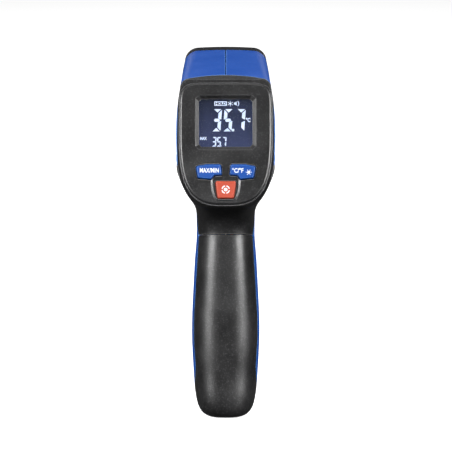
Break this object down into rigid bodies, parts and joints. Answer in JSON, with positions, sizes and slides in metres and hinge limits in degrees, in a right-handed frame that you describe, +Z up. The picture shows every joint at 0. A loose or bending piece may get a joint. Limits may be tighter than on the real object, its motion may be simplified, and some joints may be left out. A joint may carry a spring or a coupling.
{
  "type": "infrared thermometer",
  "caption": "Pistol-shaped hand-held infrared thermometer with tilted display panel, three keys, trigger, muzzle lens and raked grip.",
  "frame": {"origin": "centre of the flat foot under the handle", "axes": "+X to the user's right, +Y towards the muzzle, +Z up; the display faces -Y"},
  "size_m": [0.0422, 0.1037, 0.1458],
  "materials": {
    "blue_shell": "fine spark-eroded satin",
    "black_cover": "spark-eroded satin",
    "black_grip": "soft, stippled",
    "black_gloss": "smooth",
    "blue_key": "satin",
    "red_key": "satin",
    "clear_window": "clear acrylic",
    "lcd": "negative liquid crystal cell",
    "light_guide": "white diffuser",
    "board_green": "solder mask",
    "chip_black": "epoxy",
    "steel": "plated",
    "brass": "turned",
    "lens_plastic": "infrared lens",
    "laser_glass": "tinted",
    "battery_can": "lacquered",
    "lead_red": "insulation",
    "lead_black": "insulation",
    "lead_grey": "insulation"
  },
  "bodies": {
    "housing": {"left_shell": "blue_shell", "right_shell": "blue_shell", "rear_cover": "black_cover", "rear_grip": "black_grip", "nose_ring": "black_gloss", "trigger_spring": "steel", "trigger_pin": "steel", "door_pin": "steel", "trigger_switch": "chip_black", "sensor_tube": "chip_black", "lens": "lens_plastic", "lens_retainer": "black_gloss", "thermopile_sensor": "steel", "sensor_board": "board_green", "laser_module": "brass", "laser_window": "laser_glass", "battery": "battery_can", "battery_snap": "chip_black", "battery_lead_red": "lead_red", "battery_lead_black": "lead_black", "sensor_cable": "lead_grey", "shell_screws": "steel", "display_window": "clear_window", "main_board": "board_green", "board_components": "chip_black", "key_switches": "steel", "buzzer": "chip_black", "board_screws": "steel", "lcd_glass": "lcd", "lcd_backlight": "light_guide", "lcd_frame": "chip_black"},
    "trigger": {"trigger": "black_gloss"},
    "max_min_key": {"max_min_key": "blue_key"},
    "unit_key": {"unit_key": "blue_key"},
    "laser_key": {"laser_key": "red_key"},
    "battery_door": {"battery_door": "black_cover"}
  },
  "joints": [
    {"name": "trigger_pull", "type": "hinge", "parent": "housing", "child": "trigger", "pos_m": [0, 0.0432, 0.0958], "axis": [-1, 0, 0], "range_deg": [0, 7.5], "stiffness_Nm_per_rad": 0.6, "springref_deg": -5.73, "deforming": ["trigger_spring"]},
    {"name": "max_min_press", "type": "slide", "parent": "housing", "child": "max_min_key", "axis": [0, 0.9239, -0.3827], "range_m": [0, 0.0007], "stiffness_N_per_m": 2500},
    {"name": "unit_press", "type": "slide", "parent": "housing", "child": "unit_key", "axis": [0, 0.9239, -0.3827], "range_m": [0, 0.0007], "stiffness_N_per_m": 2500},
    {"name": "laser_press", "type": "slide", "parent": "housing", "child": "laser_key", "axis": [0, 0.9239, -0.3827], "range_m": [0, 0.0007], "stiffness_N_per_m": 2500},
    {"name": "battery_door_open", "type": "hinge", "parent": "housing", "child": "battery_door", "pos_m": [0, 0.0183, 0.013], "axis": [-1, 0, 0], "range_deg": [0, 75]}
  ]
}
